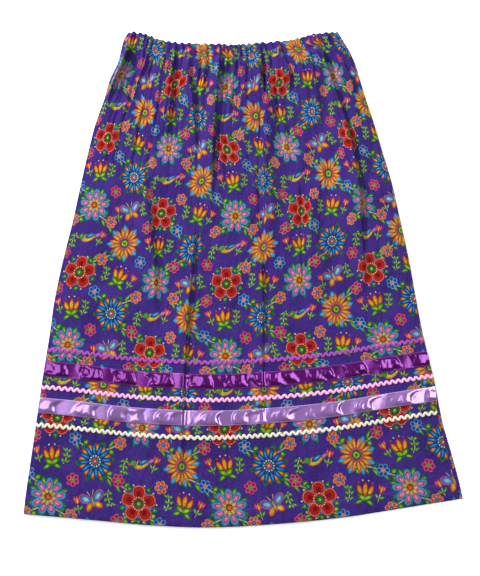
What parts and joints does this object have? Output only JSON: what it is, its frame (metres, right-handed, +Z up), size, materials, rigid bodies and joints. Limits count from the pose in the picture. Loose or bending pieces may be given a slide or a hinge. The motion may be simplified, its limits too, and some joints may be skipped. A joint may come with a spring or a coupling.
{
  "type": "ribbon skirt",
  "caption": "Long gathered skirt laid flat, with an elastic waist casing and bands of satin ribbon and ric-rac sewn round above the hem.",
  "frame": {"origin": "middle of the skirt's bounding box, on the surface that it lies on", "axes": "+Z up out of the front, +Y from the hem towards the waist, +X to the right as seen from above"},
  "size_m": [0.7144, 0.8892, 0.0123],
  "materials": {
    "cotton": "plain-woven printed cotton, matt",
    "dark_satin": "satin weave, glossy",
    "lilac_satin": "satin weave, glossy",
    "orchid_braid": "woven braid, matt",
    "pink_braid": "woven braid, matt",
    "cream_braid": "woven braid, matt"
  },
  "bodies": {
    "root": {"front_panel": "cotton", "back_panel": "cotton", "dark_ribbon_front": "dark_satin", "dark_ribbon_back": "dark_satin", "lilac_ribbon_front": "lilac_satin", "lilac_ribbon_back": "lilac_satin", "orchid_ricrac_front": "orchid_braid", "orchid_ricrac_back": "orchid_braid", "pink_ricrac_front": "pink_braid", "pink_ricrac_back": "pink_braid", "cream_ricrac_front": "cream_braid", "cream_ricrac_back": "cream_braid"}
  },
  "joints": []
}
